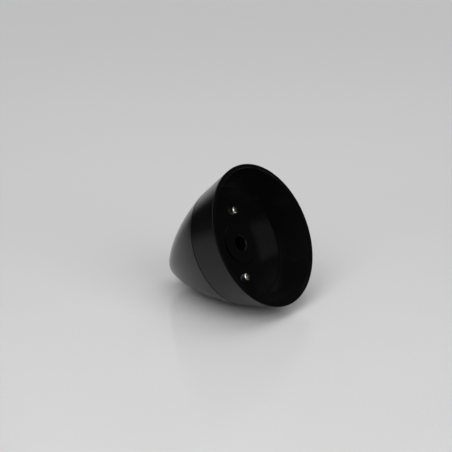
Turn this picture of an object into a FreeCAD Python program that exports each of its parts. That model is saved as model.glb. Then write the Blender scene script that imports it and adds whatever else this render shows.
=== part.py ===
import FreeCAD, Part
import math
import os

# Propeller spinner: a streamlined cap that turns with a propeller.
# It is two moulded pieces and their screws:
#   rear_shell   a tapered cup with an open mouth, a flat floor, a raised hub pad and a shaft bore;
#   nose_cone    a rounded ogive shell that closes the back of the cup, with two screw pillars inside;
#   cone_screws  two pan head screws, driven from the mouth through the floor into the pillars.
# Frame: origin at the centre of the mouth plane, +Z along the spin axis towards the nose.
# All sizes are in millimetres, all angles in degrees.

# rear shell
rim_radius = 38.0            # outer radius of the mouth, the widest circle of the spinner
seam_radius = 32.4           # outer radius where the nose cone takes over
floor_depth = 18.2           # mouth plane to the face of the floor
floor_thickness = 2.8        # from that face to the seam plane behind it
rim_land = 2.3               # width of the flat end face of the mouth
floor_wall = 1.9             # wall at the level of the floor, measured across the axis
rim_edge_radius = 0.35       # both edges of the end face
floor_corner_radius = 0.5    # inside corner between wall and floor
seam_edge_radius = 0.4       # edge break on each side of the seam, which leaves a fine groove
ejector_mark_radius = 3.4    # shallow round mark that an ejector pin of the mould leaves on the floor
ejector_mark_depth = 0.15
ejector_mark_circle = 24.9   # distance of its middle from the spin axis
ejector_mark_angle = 14.7    # from the X axis, which is just beside one screw

# hub
pad_radius = 11.0            # raised round pad that the propeller hub bears on
pad_height = 1.1
pad_edge_radius = 0.3
shaft_radius = 4.0           # radius of the shaft that the bore takes
shaft_clearance = 0.05
bore_edge_radius = 0.35

# register ring, which centres the nose cone on the rear shell
ring_height = 3.0
ring_thickness = 1.6
ring_clearance = 0.15

# nose cone
nose_length = 46.1           # seam plane to the tip
nose_slope = 19.2            # half angle of the cone where it leaves the seam
tip_radius = 10.9            # radius of the rounded tip
nose_wall = 2.2

# screws, of the kind that cuts its own thread in plastic
screw_circle_radius = 18.1   # the two screws stand opposite each other on this circle
screw_angles = [0.0, 180.0]  # on the X axis
screw_turns = [20.0, 65.0]   # how far each recess is turned when its screw is tight
screw_head_radius = 2.1
screw_head_height = 1.75
screw_head_round = 0.9       # round on the upper edge of the pan head
screw_core_radius = 0.85
screw_length = 9.0           # under the head
screw_point_height = 0.8
screw_hole_clearance = 0.35  # floor hole over the screw's core, which leaves room for its thread
recess_span = 2.3            # cross recess, tip to tip
recess_floor_span = 0.9
recess_width = 0.55
recess_depth = 1.0

# screw pillars inside the nose cone
pillar_radius = 3.3
pillar_gap = 0.2             # stops the pillars short of the floor, so that the seam closes first
pilot_clearance = 0.04       # hole in the pillar over the screw's core
pilot_extra_depth = 1.5      # hole beyond the screw's point
web_thickness = 1.6          # web that ties each pillar to the wall
web_clearance = 0.5          # from the top of the register ring to the web

# derived places
seam_height = floor_depth + floor_thickness
tip_height = seam_height + nose_length
pad_face = floor_depth - pad_height
bore_radius = shaft_radius + shaft_clearance
web_base = seam_height + ring_height + web_clearance


def point(radius, height):
    """A point of a half section, in the XZ plane."""
    return FreeCAD.Vector(radius, 0.0, height)


def turned(edges):
    """The solid that a closed half section sweeps round the spin axis."""
    face = Part.Face(Part.Wire(edges))
    return face.revolve(FreeCAD.Vector(0, 0, 0), FreeCAD.Vector(0, 0, 1), 360.0)


def rounded_section(corners):
    """Edges of a closed half section. Each corner is (radius, height, corner round)."""
    stops = []
    for index, (radius, height, blend) in enumerate(corners):
        here = point(radius, height)
        if blend == 0.0:
            stops.append((here, here, here))
            continue
        before = point(*corners[index - 1][:2]) - here
        after = point(*corners[(index + 1) % len(corners)][:2]) - here
        half_angle = before.getAngle(after) / 2.0
        before.normalize()
        after.normalize()
        middle = before + after
        middle.normalize()
        setback = blend / math.tan(half_angle)
        depth = blend / math.sin(half_angle) - blend
        stops.append((here + before * setback, here + middle * depth, here + after * setback))
    edges = []
    for index, (start, middle, end) in enumerate(stops):
        if start != end:
            edges.append(Part.Arc(start, middle, end).toShape())
        following = stops[(index + 1) % len(stops)][0]
        edges.append(Part.LineSegment(end, following).toShape())
    return edges


# The ogive is a large arc that leaves the seam at nose_slope and runs tangent into the round tip.
# Both arcs keep their centres for the inside of the wall, so the wall is even all the way round.
slope = math.radians(nose_slope)
tip_centre = point(0.0, tip_height - tip_radius)
ogive_height = nose_length - tip_radius
ogive_radius = (ogive_height ** 2 + seam_radius ** 2 - tip_radius ** 2) / (
    2.0 * (seam_radius * math.cos(slope) - ogive_height * math.sin(slope) - tip_radius))
ogive_centre = point(seam_radius - ogive_radius * math.cos(slope),
                     seam_height - ogive_radius * math.sin(slope))


def ogive_wall_radius(height, inset):
    """Radius of the nose cone at a height, measured inset mm inside its outer face."""
    reach = (ogive_radius - inset) ** 2 - (height - ogive_centre.z) ** 2
    return ogive_centre.x + math.sqrt(reach)


def ogive_edges(height, inset):
    """The two arcs of the nose, from a height up to the axis, inset mm inside its outer face."""
    towards_tip = tip_centre - ogive_centre
    towards_tip.normalize()
    start = point(ogive_wall_radius(height, inset), height)
    joint = ogive_centre + towards_tip * (ogive_radius - inset)
    halfway = (start - ogive_centre) + (joint - ogive_centre)
    halfway.normalize()
    side = Part.Arc(start, ogive_centre + halfway * (ogive_radius - inset), joint)
    summit = point(0.0, tip_centre.z + tip_radius - inset)
    shoulder = towards_tip + FreeCAD.Vector(0, 0, 1)
    shoulder.normalize()
    tip = Part.Arc(joint, tip_centre + shoulder * (tip_radius - inset), summit)
    return [side.toShape(), tip.toShape()]


def ogive_solid(height, inset):
    """The full form of the nose above a height, inset mm inside its outer face."""
    foot = point(ogive_wall_radius(height, inset), height)
    summit = point(0.0, tip_centre.z + tip_radius - inset)
    base_point = point(0.0, height)
    closing = [Part.LineSegment(summit, base_point).toShape(),
               Part.LineSegment(base_point, foot).toShape()]
    return turned(ogive_edges(height, inset) + closing)


def on_screw_circle(shape, angle):
    """Moves a shape from the spin axis to one screw position."""
    placed = shape.copy()
    placed.translate(FreeCAD.Vector(screw_circle_radius, 0, 0))
    placed.rotate(FreeCAD.Vector(0, 0, 0), FreeCAD.Vector(0, 0, 1), angle)
    return placed


def make_rear_shell():
    """The cup: tapered wall, floor with its hub pad and bore, and the register ring behind."""
    taper = (rim_radius - seam_radius) / seam_height
    floor_radius = rim_radius - taper * floor_depth - floor_wall
    ring_foot = ogive_wall_radius(seam_height, nose_wall) - ring_clearance
    ring_top = ogive_wall_radius(seam_height + ring_height, nose_wall) - ring_clearance
    ring_bore = ring_top - ring_thickness
    shell = turned(rounded_section([
        (rim_radius, 0.0, rim_edge_radius),
        (seam_radius, seam_height, seam_edge_radius),
        (ring_foot, seam_height, 0.0),
        (ring_top, seam_height + ring_height, 0.0),
        (ring_bore, seam_height + ring_height, 0.0),
        (ring_bore, seam_height, 0.0),
        (bore_radius, seam_height, bore_edge_radius),
        (bore_radius, pad_face, bore_edge_radius),
        (pad_radius, pad_face, pad_edge_radius),
        (pad_radius, floor_depth, 0.0),
        (floor_radius, floor_depth, floor_corner_radius),
        (rim_radius - rim_land, 0.0, rim_edge_radius),
    ]))
    hole = Part.makeCylinder(screw_core_radius + screw_hole_clearance, floor_thickness,
                             point(0.0, floor_depth))
    for angle in screw_angles:
        shell = shell.cut(on_screw_circle(hole, angle))
    mark = Part.makeCylinder(ejector_mark_radius, ejector_mark_depth,
                             point(ejector_mark_circle, floor_depth))
    mark.rotate(FreeCAD.Vector(0, 0, 0), FreeCAD.Vector(0, 0, 1), ejector_mark_angle)
    return shell.cut(mark)


def make_nose_cone():
    """The ogive shell with two screw pillars, each tied to the wall by a web."""
    outer = ogive_edges(seam_height + seam_edge_radius, 0.0)
    inner = ogive_edges(seam_height, nose_wall)
    outer_foot = point(ogive_wall_radius(seam_height + seam_edge_radius, 0.0),
                       seam_height + seam_edge_radius)
    broken_edge = point(seam_radius - seam_edge_radius, seam_height)
    inner_foot = point(ogive_wall_radius(seam_height, nose_wall), seam_height)
    at_summit = Part.LineSegment(point(0.0, tip_height), point(0.0, tip_height - nose_wall))
    across_foot = Part.LineSegment(inner_foot, broken_edge)
    edge_break = Part.LineSegment(broken_edge, outer_foot)
    cone = turned(outer + [at_summit.toShape()] + inner[::-1]
                  + [across_foot.toShape(), edge_break.toShape()])

    # pillars and webs are trimmed in the middle of the wall, so that they grow out of it
    trim = ogive_solid(seam_height, nose_wall / 2.0)
    pillar_base = seam_height + pillar_gap
    pillar = Part.makeCylinder(pillar_radius, tip_height - pillar_base, point(0.0, pillar_base))
    web = Part.makeBox(seam_radius, web_thickness, tip_height - web_base,
                       FreeCAD.Vector(0.0, -web_thickness / 2.0, web_base))
    pilot_top = floor_depth + screw_length + pilot_extra_depth
    pilot = Part.makeCylinder(screw_core_radius + pilot_clearance, pilot_top - pillar_base,
                              point(0.0, pillar_base))
    for angle in screw_angles:
        for shape in (pillar, web):
            cone = cone.fuse(on_screw_circle(shape, angle).common(trim))
        cone = cone.cut(on_screw_circle(pilot, angle))
    return cone.removeSplitter()


def make_screw(turn):
    """A pan head screw with a cross recess, standing on the spin axis with its head on the floor."""
    head_face = floor_depth - screw_head_height
    point_base = floor_depth + screw_length - screw_point_height
    screw = turned(rounded_section([
        (0.0, head_face, 0.0),
        (screw_head_radius, head_face, screw_head_round),
        (screw_head_radius, floor_depth, 0.0),
        (screw_core_radius, floor_depth, 0.0),
        (screw_core_radius, point_base, 0.0),
        (screw_core_radius / 2.0, point_base + screw_point_height, 0.0),
        (0.0, point_base + screw_point_height, 0.0),
    ]))
    corners = [
        FreeCAD.Vector(-recess_span / 2.0, -recess_width / 2.0, head_face),
        FreeCAD.Vector(recess_span / 2.0, -recess_width / 2.0, head_face),
        FreeCAD.Vector(recess_floor_span / 2.0, -recess_width / 2.0, head_face + recess_depth),
        FreeCAD.Vector(-recess_floor_span / 2.0, -recess_width / 2.0, head_face + recess_depth),
    ]
    slot = Part.Face(Part.makePolygon(corners + corners[:1])).extrude(FreeCAD.Vector(0, recess_width, 0))
    for quarter in (0.0, 90.0):
        cutter = slot.copy()
        cutter.rotate(FreeCAD.Vector(0, 0, 0), FreeCAD.Vector(0, 0, 1), turn + quarter)
        screw = screw.cut(cutter)
    return screw


def make_cone_screws():
    """Both screws, each left at the turn where it came tight."""
    screws = [on_screw_circle(make_screw(turn), angle)
              for turn, angle in zip(screw_turns, screw_angles)]
    return Part.makeCompound(screws)


nodes = {
    "rear_shell": make_rear_shell(),
    "nose_cone": make_nose_cone(),
    "cone_screws": make_cone_screws(),
}
os.makedirs("parts", exist_ok=True)
for name, shape in nodes.items():
    print(name, "solids:", len(shape.Solids), "volume mm3:", round(shape.Volume, 1))
    shape.exportStep("parts/" + name + ".step")
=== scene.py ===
# %% [markdown]
# # A propeller spinner on a sheet of pale paper
# A spinner is the streamlined cap that turns with a model aircraft's propeller. This one is three
# things screwed together: a glossy black rear shell, a satin black nose cone, and two small plated
# screws that are driven from the open mouth. The CAD frame already holds their exact shapes, so the
# work here is what the eye reads next: how each plastic was moulded, how the steel was plated, and
# the small studio that lights them. First the frame comes in.

# %% Load the frame
import math

import bpy
from mathutils import Matrix, Vector


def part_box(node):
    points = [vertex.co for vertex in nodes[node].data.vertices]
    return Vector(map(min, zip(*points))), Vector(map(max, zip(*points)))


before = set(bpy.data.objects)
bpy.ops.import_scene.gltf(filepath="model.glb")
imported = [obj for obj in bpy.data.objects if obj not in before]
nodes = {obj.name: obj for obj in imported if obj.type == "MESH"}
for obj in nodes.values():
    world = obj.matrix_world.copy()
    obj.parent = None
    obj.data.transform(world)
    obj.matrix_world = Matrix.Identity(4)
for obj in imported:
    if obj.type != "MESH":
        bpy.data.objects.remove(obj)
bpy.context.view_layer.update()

print("frame nodes:", sorted(nodes))

# %% [markdown]
# ## Lengths and colours
# Blender works in metres, and a maker thinks in millimetres, so one value joins the two. Colours are
# written as sRGB hex, the way a paint card or a screen gives them. Shaders add and multiply light, so
# they need the linear value, and one function turns the first into the second.

# %% Helpers for lengths and colours
mm = 0.001


def linear(hex_colour):
    """An sRGB hex colour as the linear red, green, blue and alpha that a shader works with."""
    channels = [int(hex_colour[i:i + 2], 16) / 255 for i in (1, 3, 5)]
    return [c / 12.92 if c <= 0.04045 else ((c + 0.055) / 1.055) ** 2.4 for c in channels] + [1.0]


print("middle grey #808080 is", round(linear("#808080")[0], 3), "in linear light")

# %% [markdown]
# ## How the spinner lies
# A loose spinner can lie on its side. It touches the paper at one place on the nose cone, and settles
# where its mass centre is above that place. The dip of the axis was worked out from that balance. The
# CAD frame stays as it is, with its axis on Z, so the room is turned round the spinner instead: one
# unit vector says which way is up for the paper and the lamps.

# %% The upward direction of the room
axis_dip = math.radians(27.4)      # the nose end is lower than the mouth by this angle
screw_roll = math.radians(-17.6)   # the line through both screws is rolled this far off the vertical
room_up = Vector((math.cos(axis_dip) * math.cos(screw_roll),
                  math.cos(axis_dip) * math.sin(screw_roll),
                  -math.sin(axis_dip)))
paper_level = min(vertex.co.dot(room_up) for node in nodes.values() for vertex in node.data.vertices)
print("the paper touches", round(-paper_level / mm, 1), "mm below the middle of the mouth")

# %% [markdown]
# ## Camera
# The camera stands about half a metre from the mouth and looks a little down at it, so that the open
# cup, its inner wall and both screws show, with the nose cone going away behind. A lens of 80 mm on a
# full-size sensor gives the calm perspective of a product picture.

# %% Place the camera
camera = bpy.data.objects.new("camera", bpy.data.cameras.new("camera"))
bpy.context.scene.collection.objects.link(camera)
camera.data.sensor_width = 36.0
camera.data.lens = 80.1
camera_place = Vector((-99.3, -389.9, -319.2)) * mm
camera_target = Vector((7.59, -13.67, 13.06)) * mm
look = (camera_target - camera_place).normalized()
camera_top = Vector((0.96254, -0.03691, -0.26863))     # holds it level, to a few hundredths of a degree
camera_right = look.cross(camera_top).normalized()
camera_up = camera_right.cross(look)
turn = Matrix((camera_right, camera_up, -look)).transposed().to_4x4()
camera.matrix_world = Matrix.Translation(camera_place) @ turn
camera.data.clip_start = 10 * mm
camera.data.clip_end = 20.0
bpy.context.scene.camera = camera
print("camera looks down by", round(-math.degrees(math.asin(look.dot(room_up))), 1), "degrees")

# %% [markdown]
# ## Building materials from nodes
# Every surface below is a small graph of shader nodes. One function adds a node, sets its own
# properties, and fills its sockets with plain values or with other nodes' outputs, so that each
# material reads as a short list. A second starts a material empty, and a third puts it on a CAD
# node. Patterns are placed by Object coordinates, which are the spinner's own metres: a noise of
# scale 1 / size then has features of that real size.

# %% Functions that add a node, start a material and put it on


def add(tree, kind, inputs=None, **settings):
    """Adds one node to a tree, with its settings, and its sockets filled or linked."""
    made = tree.nodes.new(kind)
    for name, value in settings.items():
        setattr(made, name, value)
    for socket, value in (inputs or {}).items():
        if isinstance(value, bpy.types.NodeSocket):
            tree.links.new(value, made.inputs[socket])
        else:
            made.inputs[socket].default_value = value
    return made


def new_material(name):
    """An empty node material, with no nodes yet, ready for a shader and its output."""
    material = bpy.data.materials.new(name)
    material.use_nodes = True
    material.node_tree.nodes.clear()
    return material, material.node_tree


def dress(node_name, material):
    """Gives a CAD node its finish by filling its material slots. Its mesh stays as it is."""
    mesh = nodes[node_name].data
    mesh.materials.clear()
    mesh.materials.append(material)
    print(node_name, "is finished in", material.name)


print("nodes that wait for a finish:", len(nodes))

# %% [markdown]
# ## The groove at the seam
# Where the two mouldings meet, both edges are broken, which leaves a fine groove round the spinner.
# It shows as a thin dark line. The line is got here by drawing the groove matt, which stands in for
# whatever darkens the real one, such as dust, shade or flash. Both plastics use the same helper: near
# the seam plane it raises roughness.

# %% A helper for the matt groove
seam_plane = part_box("nose_cone")[0].z
groove_half = 0.42 * mm


def matt_at_seam(tree, roughness):
    """The given roughness, raised to matt inside the groove round the seam."""
    position = add(tree, "ShaderNodeTexCoord").outputs["Object"]
    height = add(tree, "ShaderNodeSeparateXYZ", {"Vector": position}).outputs["Z"]
    near = add(tree, "ShaderNodeMath", {0: height, 1: seam_plane, 2: groove_half},
               operation="COMPARE")
    return add(tree, "ShaderNodeMix", {0: near.outputs["Value"], 2: roughness, 3: 0.85},
               data_type="FLOAT").outputs[0]


print("the seam is at", round(seam_plane / mm, 2), "mm")

# %% [markdown]
# ## Dull corners in the cup
# The cup's corners show hardly any bright line, though its faces shine. Small corners of a mould are
# hard to polish, which may be why. Here they are simply tinted to mirror very little: a device that
# was chosen by how it looks, after matt corners had drawn wider, paler rings. The cup is round, and
# two numbers place every point on it: how far it is from the axis, and how high. In that flat profile
# a corner is one point, so a plain distance to it makes a ring all the way round the part.

# %% A helper for dull corners
mouth_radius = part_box("rear_shell")[1].x
shell_taper = (mouth_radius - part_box("nose_cone")[1].x) / seam_plane
rim_land = 2.3 * mm          # width of the flat rim
floor_depth = 18.2 * mm
floor_wall = 1.9 * mm        # wall at the floor
rim_inner_edge = (mouth_radius - rim_land, 0.0, 0.0)
floor_corner = (mouth_radius - shell_taper * floor_depth - floor_wall, floor_depth, 0.0)
pad_edge = (11.0 * mm, 17.1 * mm, 0.0)     # the hub pad's radius, and the depth of its face
corner_reach = 0.8 * mm


def near_corners(tree, profile, corners):
    """Goes from 0 to 1 where a point of the profile comes nearer to a corner than its reach."""
    nearest = 1.0            # a metre, which is further than any point of the cup
    for corner in corners:
        gap = add(tree, "ShaderNodeVectorMath", {0: profile, 1: corner}, operation="DISTANCE")
        nearest = add(tree, "ShaderNodeMath", {0: gap.outputs["Value"], 1: nearest},
                      operation="MINIMUM").outputs["Value"]
    return add(tree, "ShaderNodeMapRange", {"Value": nearest, "From Min": corner_reach,
                                            "From Max": 0.7 * corner_reach}).outputs["Result"]


print("the cup's floor corner is", round(floor_corner[0] / mm, 2), "mm from the axis")

# %% [markdown]
# ## Rear shell: glossy moulded ABS
# The rear shell is injection moulded in black ABS against polished steel, which leaves a deep,
# glossy black. Nothing of the colour comes from inside the plastic: the eye reads the shell almost
# only by what it mirrors. The outside mirrors less than the cup does, perhaps from handling, so one
# value tells the two sides apart by how far a point is from the axis, and a darker specular tint and
# a little roughness are matched there. Mouldings are never quite even: a wide soft noise changes the
# roughness a little, a shallow bump adds the slow ripple that shrinking plastic leaves, and fine dust
# sits on it as a few paler grains.

# %% Glossy black ABS
glossy_abs, tree = new_material("glossy_moulded_ABS")
place = add(tree, "ShaderNodeTexCoord").outputs["Object"]
smudge_size = 9.0 * mm       # patches left by handling
ripple_size = 2.2 * mm       # slow waves in the moulded surface
dust_size = 0.35 * mm        # dust is finer in life, and is drawn at a size that shows
smudges = add(tree, "ShaderNodeTexNoise", {"Vector": place, "Scale": 1 / smudge_size, "Detail": 4.0})
ripples = add(tree, "ShaderNodeTexNoise", {"Vector": place, "Scale": 1 / ripple_size, "Detail": 2.0})
dust = add(tree, "ShaderNodeTexNoise", {"Vector": place, "Scale": 1 / dust_size, "Detail": 1.0})
dust_grains = add(tree, "ShaderNodeMapRange", {"Value": dust.outputs["Fac"],
                                               "From Min": 0.74, "From Max": 0.80})
across_axis = add(tree, "ShaderNodeVectorMath", {0: place, 1: (1, 1, 0)}, operation="MULTIPLY")
from_axis = add(tree, "ShaderNodeVectorMath", {0: across_axis.outputs["Vector"]}, operation="LENGTH")
height = add(tree, "ShaderNodeSeparateXYZ", {"Vector": place}).outputs["Z"]
profile = add(tree, "ShaderNodeCombineXYZ", {"X": from_axis.outputs["Value"], "Y": height})
corners = near_corners(tree, profile.outputs["Vector"], (rim_inner_edge, floor_corner, pad_edge))
# with the taper taken out, the whole outer face is as far from the axis as the mouth's edge
untapered = add(tree, "ShaderNodeMath", {0: height, 1: shell_taper, 2: from_axis.outputs["Value"]},
                operation="MULTIPLY_ADD")
outside = add(tree, "ShaderNodeMapRange", {"Value": untapered.outputs["Value"],
                                           "From Min": mouth_radius - 1.2 * mm,
                                           "From Max": mouth_radius - 0.6 * mm})
polish = add(tree, "ShaderNodeMapRange", {"Value": smudges.outputs["Fac"], "From Min": 0.3,
                                          "From Max": 0.7, "To Min": 0.15, "To Max": 0.19})
rubbed = add(tree, "ShaderNodeMath", {0: outside.outputs["Result"], 1: 0.02,
                                      2: polish.outputs["Result"]}, operation="MULTIPLY_ADD")
shine = add(tree, "ShaderNodeMix", {0: outside.outputs["Result"], 6: linear("#FFFFFF"),
                                    7: linear("#888888")}, data_type="RGBA")
dulled = add(tree, "ShaderNodeMix", {0: corners, 6: shine.outputs[2], 7: linear("#0C0C0C")},
             data_type="RGBA")
black = add(tree, "ShaderNodeMix", {0: smudges.outputs["Fac"], 6: linear("#080808"),
                                    7: linear("#0B0B0C")}, data_type="RGBA")
dusted = add(tree, "ShaderNodeMix", {0: dust_grains.outputs["Result"], 6: black.outputs[2],
                                     7: linear("#1C1C1B")}, data_type="RGBA")
waves = add(tree, "ShaderNodeBump", {"Height": ripples.outputs["Fac"], "Distance": 0.02 * mm,
                                     "Strength": 0.35})
# ABS starts from an IOR of 1.54 and a specular level of 0.5; both were lowered until the black matched
shader = add(tree, "ShaderNodeBsdfPrincipled", {
    "Base Color": dusted.outputs[2], "Roughness": matt_at_seam(tree, rubbed.outputs["Value"]),
    "Normal": waves.outputs["Normal"], "IOR": 1.45, "Specular IOR Level": 0.32,
    "Specular Tint": dulled.outputs[2]})
add(tree, "ShaderNodeOutputMaterial", {"Surface": shader.outputs["BSDF"]})
dress("rear_shell", glossy_abs)

# %% [markdown]
# ## Nose cone: satin moulded nylon
# Nylon flows thinly and takes up the fine spark-eroded grain of its mould as tiny soft dimples, on
# a skin that is itself smooth. Each dimple tilts the reflection a little, and together they turn the
# gloss into an even satin: charcoal face on, and paler towards the outline, where plastic reflects
# most. So the grain is made as a bump over a low roughness, not as a high roughness alone. Such a
# grain is about a tenth of a millimetre across, and is drawn three times as coarse so that it shows.
# The specular level is below the usual 0.5, because the charcoal was matched with it.

# %% Satin black nylon
satin_nylon, tree = new_material("satin_moulded_nylon")
place = add(tree, "ShaderNodeTexCoord").outputs["Object"]
flow_size = 12.0 * mm        # cloudy streaks where the plastic flowed
grain_size = 0.3 * mm
flow = add(tree, "ShaderNodeTexNoise", {"Vector": place, "Scale": 1 / flow_size, "Detail": 5.0})
grain = add(tree, "ShaderNodeTexNoise", {"Vector": place, "Scale": 1 / grain_size, "Detail": 2.0})
satin_range = add(tree, "ShaderNodeMapRange", {"Value": flow.outputs["Fac"], "From Min": 0.3,
                                               "From Max": 0.7, "To Min": 0.11, "To Max": 0.15})
charcoal = add(tree, "ShaderNodeMix", {0: flow.outputs["Fac"], 6: linear("#070707"),
                                       7: linear("#0B0B0B")}, data_type="RGBA")
speckled = add(tree, "ShaderNodeMix", {0: grain.outputs["Fac"], 6: charcoal.outputs[2],
                                       7: linear("#101010")}, data_type="RGBA")
grained = add(tree, "ShaderNodeBump", {"Height": grain.outputs["Fac"], "Distance": 0.012 * mm,
                                       "Strength": 0.4})
shader = add(tree, "ShaderNodeBsdfPrincipled", {
    "Base Color": speckled.outputs[2], "Roughness": matt_at_seam(tree, satin_range.outputs["Result"]),
    "Normal": grained.outputs["Normal"], "IOR": 1.53, "Specular IOR Level": 0.2})
add(tree, "ShaderNodeOutputMaterial", {"Surface": shader.outputs["BSDF"]})
dress("nose_cone", satin_nylon)

# %% [markdown]
# ## Cone screws: nickel-plated steel
# Small screws for plastic are cold headed, rolled and then nickel plated. The plating is bright but
# follows the fine rings that a turned heading die leaves, so each head shows one hot glint and some
# softer light round the dark of its recess. Both screws are in one node, mirrored about the spin
# axis, so the sign of X is dropped and the rings are centred on one screw for both.

# %% Nickel-plated steel
nickel_plate, tree = new_material("nickel_plated_steel")
screw_circle = 18.1 * mm
die_marks = 0.24 * mm        # spacing of the rings, drawn wider than in life so that they show
ring_period = 2 * math.pi / 20    # a Wave node of scale 1 draws its rings this far apart
place = add(tree, "ShaderNodeTexCoord").outputs["Object"]
either_screw = add(tree, "ShaderNodeVectorMath", {0: place}, operation="ABSOLUTE")
about_screw = add(tree, "ShaderNodeVectorMath", {0: either_screw.outputs["Vector"],
                                                 1: (screw_circle, 0.0, 0.0)}, operation="SUBTRACT")
rings = add(tree, "ShaderNodeTexWave", {"Vector": about_screw.outputs["Vector"],
                                        "Scale": ring_period / die_marks, "Distortion": 0.6,
                                        "Detail": 2.0}, wave_type="RINGS", rings_direction="Z")
tarnish = add(tree, "ShaderNodeTexNoise", {"Vector": place, "Scale": 1 / (0.8 * mm), "Detail": 3.0})
plate = add(tree, "ShaderNodeMix", {0: tarnish.outputs["Fac"], 6: linear("#E2E0DA"),
                                    7: linear("#C9C6BE")}, data_type="RGBA")
polish = add(tree, "ShaderNodeMapRange", {"Value": tarnish.outputs["Fac"], "From Min": 0.3,
                                          "From Max": 0.7, "To Min": 0.08, "To Max": 0.16})
turned = add(tree, "ShaderNodeBump", {"Height": rings.outputs["Fac"], "Distance": 0.004 * mm,
                                      "Strength": 0.5})
shader = add(tree, "ShaderNodeBsdfPrincipled", {
    "Base Color": plate.outputs[2], "Metallic": 1.0, "Roughness": polish.outputs["Result"],
    "Normal": turned.outputs["Normal"]})
add(tree, "ShaderNodeOutputMaterial", {"Surface": shader.outputs["BSDF"]})
dress("cone_screws", nickel_plate)

# %% [markdown]
# ## Paper under the spinner
# Small goods are pictured on a wide strip of pale paper, laid flat. It is one face, since nothing
# of its edges shows. From below, the sheet lets the view through, so that the spinner can be looked
# at from every side.

# %% Lay the paper
room_right = (camera_right - camera_right.dot(room_up) * room_up).normalized()
room_back = room_up.cross(room_right)
strip_turn = math.radians(18.0)      # the strip is laid this far off the way the camera looks
strip_along = room_back * math.cos(strip_turn) - room_right * math.sin(strip_turn)
strip_across = strip_along.cross(room_up)
paper_left, paper_right, paper_front, paper_back = -2.5, 2.5, -1.2, 2.8     # metres from the middle
middle = Vector((0, 0, 12 * mm))     # a point of the axis, which then drops onto the paper
middle += room_up * (paper_level - middle.dot(room_up))
edge_points = [middle + strip_across * across + strip_along * along
               for across, along in ((paper_left, paper_front), (paper_right, paper_front),
                                     (paper_right, paper_back), (paper_left, paper_back))]
sheet_mesh = bpy.data.meshes.new("paper")
sheet_mesh.from_pydata(edge_points, [], [(0, 1, 2, 3)])
paper = bpy.data.objects.new("paper", sheet_mesh)
bpy.context.scene.collection.objects.link(paper)
print("the paper's upper face points up:", sheet_mesh.polygons[0].normal.dot(room_up) > 0.99)

# %% [markdown]
# ## Coated pale paper
# Coated paper carries a thin layer of polished clay, which gives the sheet a low gloss: at a low
# angle it takes up what stands behind it, and it mirrors a black object softly. Its fibres and slow
# waves barely show. A pool of light is painted into its colour, paler towards the front, and a
# painted shade darkens it on its left; that painted shade matters, because a glossy black wall
# mirrors what lies beside it. Both are measured along the paper itself, so they stay in place from
# any side.

# %% Coated pale paper
pale_paper, tree = new_material("coated_pale_paper")
place = add(tree, "ShaderNodeTexCoord").outputs["Object"]
fibre = add(tree, "ShaderNodeTexNoise", {"Vector": place, "Scale": 1 / (1.5 * mm), "Detail": 3.0})
cloud = add(tree, "ShaderNodeTexNoise", {"Vector": place, "Scale": 1 / (60 * mm), "Detail": 2.0})
from_middle = add(tree, "ShaderNodeVectorMath", {0: place, 1: middle}, operation="SUBTRACT")
depth = add(tree, "ShaderNodeVectorMath", {0: from_middle.outputs["Vector"], 1: room_back},
            operation="DOT_PRODUCT")
# painted light: the paper's colour pales towards the front, as if more light fell there
painted_front_light_amount = add(tree, "ShaderNodeMapRange", {"Value": depth.outputs["Value"], "From Min": 200 * mm,
                                            "From Max": -110 * mm}, interpolation_type="SMOOTHSTEP")
painted_front_light = add(tree, "ShaderNodeMix", {0: painted_front_light_amount.outputs["Result"], 6: linear("#D2D2D2"),
                                          7: linear("#DDDDDD")}, data_type="RGBA")
cloudy = add(tree, "ShaderNodeMix", {0: cloud.outputs["Fac"], 6: painted_front_light.outputs[2],
                                     7: linear("#D4D4D4")}, data_type="RGBA")
fibrous = add(tree, "ShaderNodeMix", {0: fibre.outputs["Fac"], 6: cloudy.outputs[2],
                                      7: painted_front_light.outputs[2]}, data_type="RGBA")
# painted shade: towards its left the paper's colour goes to a dark grey, as if it lay in shade
from_left = add(tree, "ShaderNodeVectorMath", {0: from_middle.outputs["Vector"], 1: strip_across},
                operation="DOT_PRODUCT")
painted_lit_amount = add(tree, "ShaderNodeMapRange", {"Value": from_left.outputs["Value"], "From Min": -360 * mm,
                                            "From Max": -120 * mm}, interpolation_type="SMOOTHSTEP")
painted_left_shade = add(tree, "ShaderNodeMix", {0: painted_lit_amount.outputs["Result"], 6: linear("#4A4A4A"),
                                     7: fibrous.outputs[2]}, data_type="RGBA")
sheet = add(tree, "ShaderNodeBsdfPrincipled", {"Base Color": painted_left_shade.outputs[2], "Roughness": 0.12,
                                               "IOR": 1.5, "Specular IOR Level": 0.4})
see_through = add(tree, "ShaderNodeBsdfTransparent")
from_below = add(tree, "ShaderNodeNewGeometry").outputs["Backfacing"]
one_sided = add(tree, "ShaderNodeMixShader", {0: from_below, 1: sheet.outputs["BSDF"],
                                              2: see_through.outputs["BSDF"]})
add(tree, "ShaderNodeOutputMaterial", {"Surface": one_sided.outputs["Shader"]})
sheet_mesh.materials.append(pale_paper)
print("the paper is", pale_paper.name, "with", len(tree.nodes), "nodes")

# %% [markdown]
# ## Studio light
# The room is dim, apart from a grey ceiling and a bright low backdrop behind the spinner. Black
# plastic shows the dim walls as its deepest black, which is why the inside of the cup goes dark, while
# the backdrop and the paper give the sheen along its outline. A world made of three soft-edged bands
# does this with no walls to build.

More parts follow.
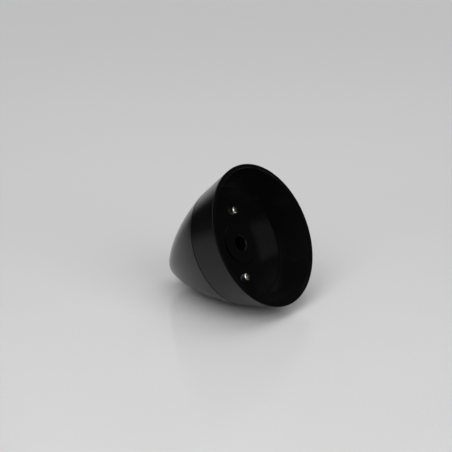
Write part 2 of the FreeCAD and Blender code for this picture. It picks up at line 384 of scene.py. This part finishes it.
# %% The room
world = bpy.data.worlds.new("studio_room")
bpy.context.scene.world = world
world.use_nodes = True
tree = world.node_tree
tree.nodes.clear()
direction = add(tree, "ShaderNodeTexCoord").outputs["Generated"]
rise = add(tree, "ShaderNodeVectorMath", {0: direction, 1: room_up}, operation="DOT_PRODUCT")
ceiling_from, ceiling_full = (math.sin(math.radians(angle)) for angle in (25, 45))
ceiling = add(tree, "ShaderNodeMapRange", {
    "Value": rise.outputs["Value"], "From Min": ceiling_from, "From Max": ceiling_full},
    interpolation_type="SMOOTHSTEP")
behind = add(tree, "ShaderNodeVectorMath", {0: direction, 1: room_back}, operation="DOT_PRODUCT")
backdrop_from, backdrop_full = (math.cos(math.radians(angle)) for angle in (39, 14))
backdrop = add(tree, "ShaderNodeMapRange", {
    "Value": behind.outputs["Value"], "From Min": backdrop_from, "From Max": backdrop_full},
    interpolation_type="SMOOTHSTEP")
low_from, low_full = (math.sin(math.radians(angle)) for angle in (42, 13))
low_part = add(tree, "ShaderNodeMapRange", {
    "Value": rise.outputs["Value"], "From Min": low_from, "From Max": low_full},
    interpolation_type="SMOOTHSTEP")
low_backdrop = add(tree, "ShaderNodeMath", {0: backdrop.outputs["Result"],
                                            1: low_part.outputs["Result"]}, operation="MULTIPLY")
walls = add(tree, "ShaderNodeMix", {0: low_backdrop.outputs["Value"], 6: linear("#1E1E1E"),
                                    7: linear("#E4E4E4")}, data_type="RGBA")
whole_room = add(tree, "ShaderNodeMix", {0: ceiling.outputs["Result"], 6: walls.outputs[2],
                                         7: linear("#8A8A8A")}, data_type="RGBA")
background = add(tree, "ShaderNodeBackground", {"Color": whole_room.outputs[2], "Strength": 1.0})
add(tree, "ShaderNodeOutputWorld", {"Surface": background.outputs["Background"]})
print("the room is made of", len(tree.nodes), "nodes")

# %% [markdown]
# ## Three softboxes
# Most of the light comes from a wide softbox overhead, which gives the spinner its soft shadow on
# the paper. One at the front left and one at the front right light its flanks, the screws and the
# floor of the cup. Each is a wide area lamp, since only a wide source makes a soft edge, and its power
# is worked out from how bright its face looks, so that size and brightness can be chosen apart.

# %% Hang the softboxes


def hang_softbox(name, bearing, height, distance, width, tall, glow):
    """A soft lamp facing the spinner. Bearing goes from the room's back, round by the right."""
    lamp = bpy.data.objects.new(name, bpy.data.lights.new(name, "AREA"))
    bpy.context.scene.collection.objects.link(lamp)
    lamp.data.shape = "RECTANGLE"
    lamp.data.size = width
    lamp.data.size_y = tall
    lamp.data.energy = glow * math.pi * width * tall     # glow is its radiance, where 1 is white
    level = room_back * math.cos(math.radians(bearing)) + room_right * math.sin(math.radians(bearing))
    towards = level * math.cos(math.radians(height)) + room_up * math.sin(math.radians(height))
    facing = towards.to_track_quat("Z", "Y").to_matrix().to_4x4()
    lamp.matrix_world = Matrix.Translation(middle + towards * distance) @ facing
    lamp.visible_camera = False
    print(name, "gives", round(lamp.data.energy, 1), "W")


hang_softbox("overhead_softbox", bearing=0, height=89, distance=1.2, width=1.4, tall=1.4, glow=1.12)
hang_softbox("left_softbox", bearing=-147, height=38, distance=1.35, width=1.2, tall=0.8, glow=2.5)
hang_softbox("right_softbox", bearing=140, height=31, distance=2.0, width=1.3, tall=1.25, glow=3.6)

# %% [markdown]
# ## Showing colours as written
# The Standard view shows a colour as it was written, with no film curve over it.

# %% Finish
bpy.context.scene.view_settings.view_transform = "Standard"
